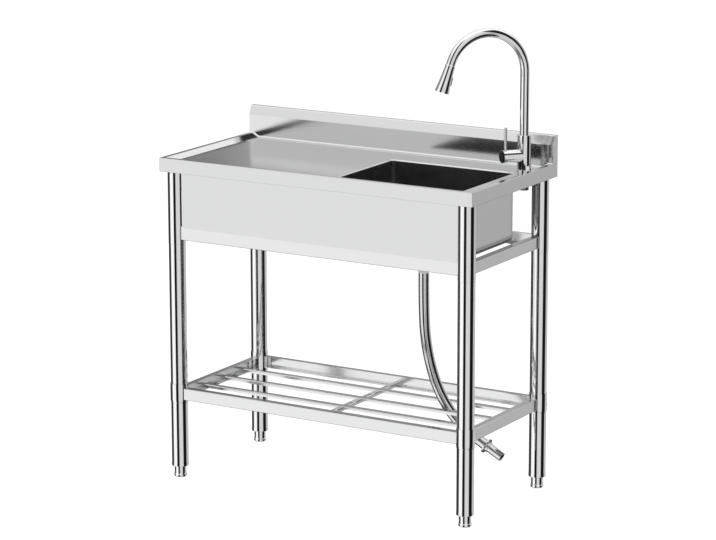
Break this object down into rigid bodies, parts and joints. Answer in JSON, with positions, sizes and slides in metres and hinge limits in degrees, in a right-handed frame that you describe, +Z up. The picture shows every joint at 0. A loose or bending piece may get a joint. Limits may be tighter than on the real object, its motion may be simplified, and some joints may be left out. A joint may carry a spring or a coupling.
{
  "type": "free-standing kitchen sink unit",
  "caption": "Free-standing sink unit: worktop with one bowl and a drainer deck, low backsplash, swivel spray tap, tubular stand with a slatted shelf, basket strainer and waste hose.",
  "frame": {"origin": "on the floor under the middle of the unit's width and depth", "axes": "+X to the right as seen from the front, +Y to the wall behind, +Z up"},
  "size_m": [0.79, 0.392, 1.046],
  "materials": {
    "brushed_sheet": "satin brushed stainless sheet",
    "polished_tube": "bright polished stainless tube and turned feet",
    "inner_steel": "plain drawn steel",
    "bright_hardware": "bright pressed stainless",
    "black_rubber": "soft, matt",
    "white_plastic": "moulded, satin",
    "hose_skin": "metallised plastic, glossy",
    "tap_finish": "polished chrome plate",
    "inner_brass": "machined",
    "black_plastic": "glossy"
  },
  "bodies": {
    "unit": {"worktop": "brushed_sheet", "backsplash": "brushed_sheet", "bowl": "brushed_sheet", "leg_socket_front_left": "polished_tube", "leg_socket_front_right": "polished_tube", "leg_socket_rear_left": "polished_tube", "leg_socket_rear_right": "polished_tube", "leg_tube_front_left": "polished_tube", "leg_tube_front_right": "polished_tube", "leg_tube_rear_left": "polished_tube", "leg_tube_rear_right": "polished_tube", "leg_joiners": "inner_steel", "foot_inserts": "polished_tube", "upper_rail_front": "brushed_sheet", "upper_rail_rear": "brushed_sheet", "upper_rail_left": "brushed_sheet", "upper_rail_right": "brushed_sheet", "shelf_rail_front": "brushed_sheet", "shelf_rail_rear": "brushed_sheet", "shelf_rail_left": "brushed_sheet", "shelf_rail_right": "brushed_sheet", "front_apron": "brushed_sheet", "shelf_sleeve_front_left": "polished_tube", "shelf_sleeve_front_right": "polished_tube", "shelf_sleeve_rear_left": "polished_tube", "shelf_sleeve_rear_right": "polished_tube", "shelf_grip_screws": "bright_hardware", "shelf_slat_front": "brushed_sheet", "shelf_slat_middle": "brushed_sheet", "shelf_slat_rear": "brushed_sheet", "shelf_stiffener": "brushed_sheet", "strainer_body": "bright_hardware", "sealing_washer": "black_rubber", "lock_nut": "white_plastic", "tail_piece": "white_plastic", "coupling_nut": "white_plastic", "waste_hose": "hose_skin", "hose_collar": "hose_skin", "hose_end_pipe": "hose_skin", "tap_base_ring": "tap_finish", "tap_collar": "tap_finish", "tap_body": "tap_finish", "valve_cartridge": "inner_brass", "tap_shank": "inner_brass", "tap_washer": "black_rubber", "tap_nut": "inner_brass"},
    "spout": {"spout_tube": "tap_finish", "spray_head": "tap_finish", "spray_face": "black_rubber"},
    "spray_button": {"spray_button": "black_plastic"},
    "mixer_handle": {"tap_handle": "tap_finish", "handle_cap": "black_plastic", "lever_pin": "tap_finish"},
    "strainer_basket": {"strainer_basket": "bright_hardware"},
    "foot_front_left": {"foot_front_left": "polished_tube"},
    "foot_front_right": {"foot_front_right": "polished_tube"},
    "foot_rear_left": {"foot_rear_left": "polished_tube"},
    "foot_rear_right": {"foot_rear_right": "polished_tube"}
  },
  "joints": [
    {"name": "spout_swivel", "type": "hinge", "parent": "unit", "child": "spout", "pos_m": [0.352, 0.119, 0.808], "axis": [0, 0, 1], "continuous": true},
    {"name": "spray_button_press", "type": "slide", "parent": "spout", "child": "spray_button", "axis": [-0.5979, -0.7652, 0.2386], "range_m": [0, 0.001], "stiffness_N_per_m": 400, "springref_m": -0.001},
    {"name": "mixer_handle_turn", "type": "hinge", "parent": "unit", "child": "mixer_handle", "pos_m": [0.352, 0.119, 0.762], "axis": [0.6428, 0.766, 0], "range_deg": [0, 90]},
    {"name": "strainer_basket_lift", "type": "slide", "parent": "unit", "child": "strainer_basket", "axis": [0, 0, 1], "range_m": [0, 0.2]},
    {"name": "foot_front_left_screw", "type": "slide", "parent": "unit", "child": "foot_front_left", "axis": [0, 0, 1], "range_m": [-0.025, 0]},
    {"name": "foot_front_right_screw", "type": "slide", "parent": "unit", "child": "foot_front_right", "axis": [0, 0, 1], "range_m": [-0.025, 0]},
    {"name": "foot_rear_left_screw", "type": "slide", "parent": "unit", "child": "foot_rear_left", "axis": [0, 0, 1], "range_m": [-0.025, 0]},
    {"name": "foot_rear_right_screw", "type": "slide", "parent": "unit", "child": "foot_rear_right", "axis": [0, 0, 1], "range_m": [-0.025, 0]}
  ]
}
